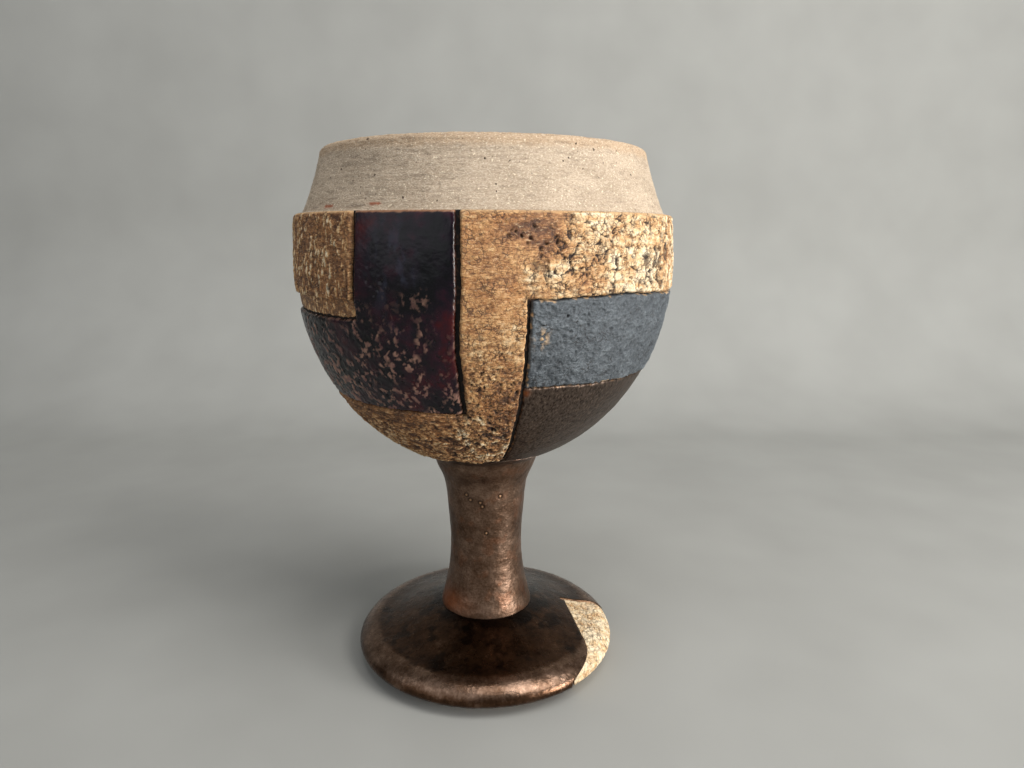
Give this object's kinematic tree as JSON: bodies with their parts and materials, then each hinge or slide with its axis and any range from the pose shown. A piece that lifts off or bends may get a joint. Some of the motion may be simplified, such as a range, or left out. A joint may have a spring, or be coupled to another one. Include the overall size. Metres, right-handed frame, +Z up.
{
  "type": "chalice",
  "caption": "Handmade stoneware communion chalice: round bowl with a bare clay collar, waisted stem and domed foot, clad in crackled ochre, plum, slate and bronze panels.",
  "frame": {"origin": "centre of the foot ring, on the surface that the chalice stands on", "axes": "+Z up along the chalice's axis; -Y is the front, where the ochre, plum and slate panels meet; +X is to the right seen from the front"},
  "size_m": [0.093, 0.093, 0.1317],
  "materials": {
    "clay": "matte",
    "joining_slip": "matte",
    "liner_glaze": "gloss",
    "groove_stain": "matte",
    "bronze_glaze": "satin",
    "ochre_slip": "matte",
    "plum_glaze": "gloss",
    "slate_slip": "matte"
  },
  "bodies": {
    "root": {"bowl": "clay", "bronze_panel_back": "bronze_glaze", "bronze_panel_front": "bronze_glaze", "foot": "clay", "foot_glaze": "bronze_glaze", "foot_ochre_wedge": "ochre_slip", "groove_stain": "groove_stain", "liner_glaze": "liner_glaze", "lower_slip_joint": "joining_slip", "ochre_panel_back": "ochre_slip", "ochre_panel_front": "ochre_slip", "ochre_panel_left": "ochre_slip", "purple_panel_back": "plum_glaze", "purple_panel_front": "plum_glaze", "slate_panel_back": "slate_slip", "slate_panel_front": "slate_slip", "stem": "clay", "stem_glaze": "bronze_glaze", "upper_slip_joint": "joining_slip"}
  },
  "joints": []
}
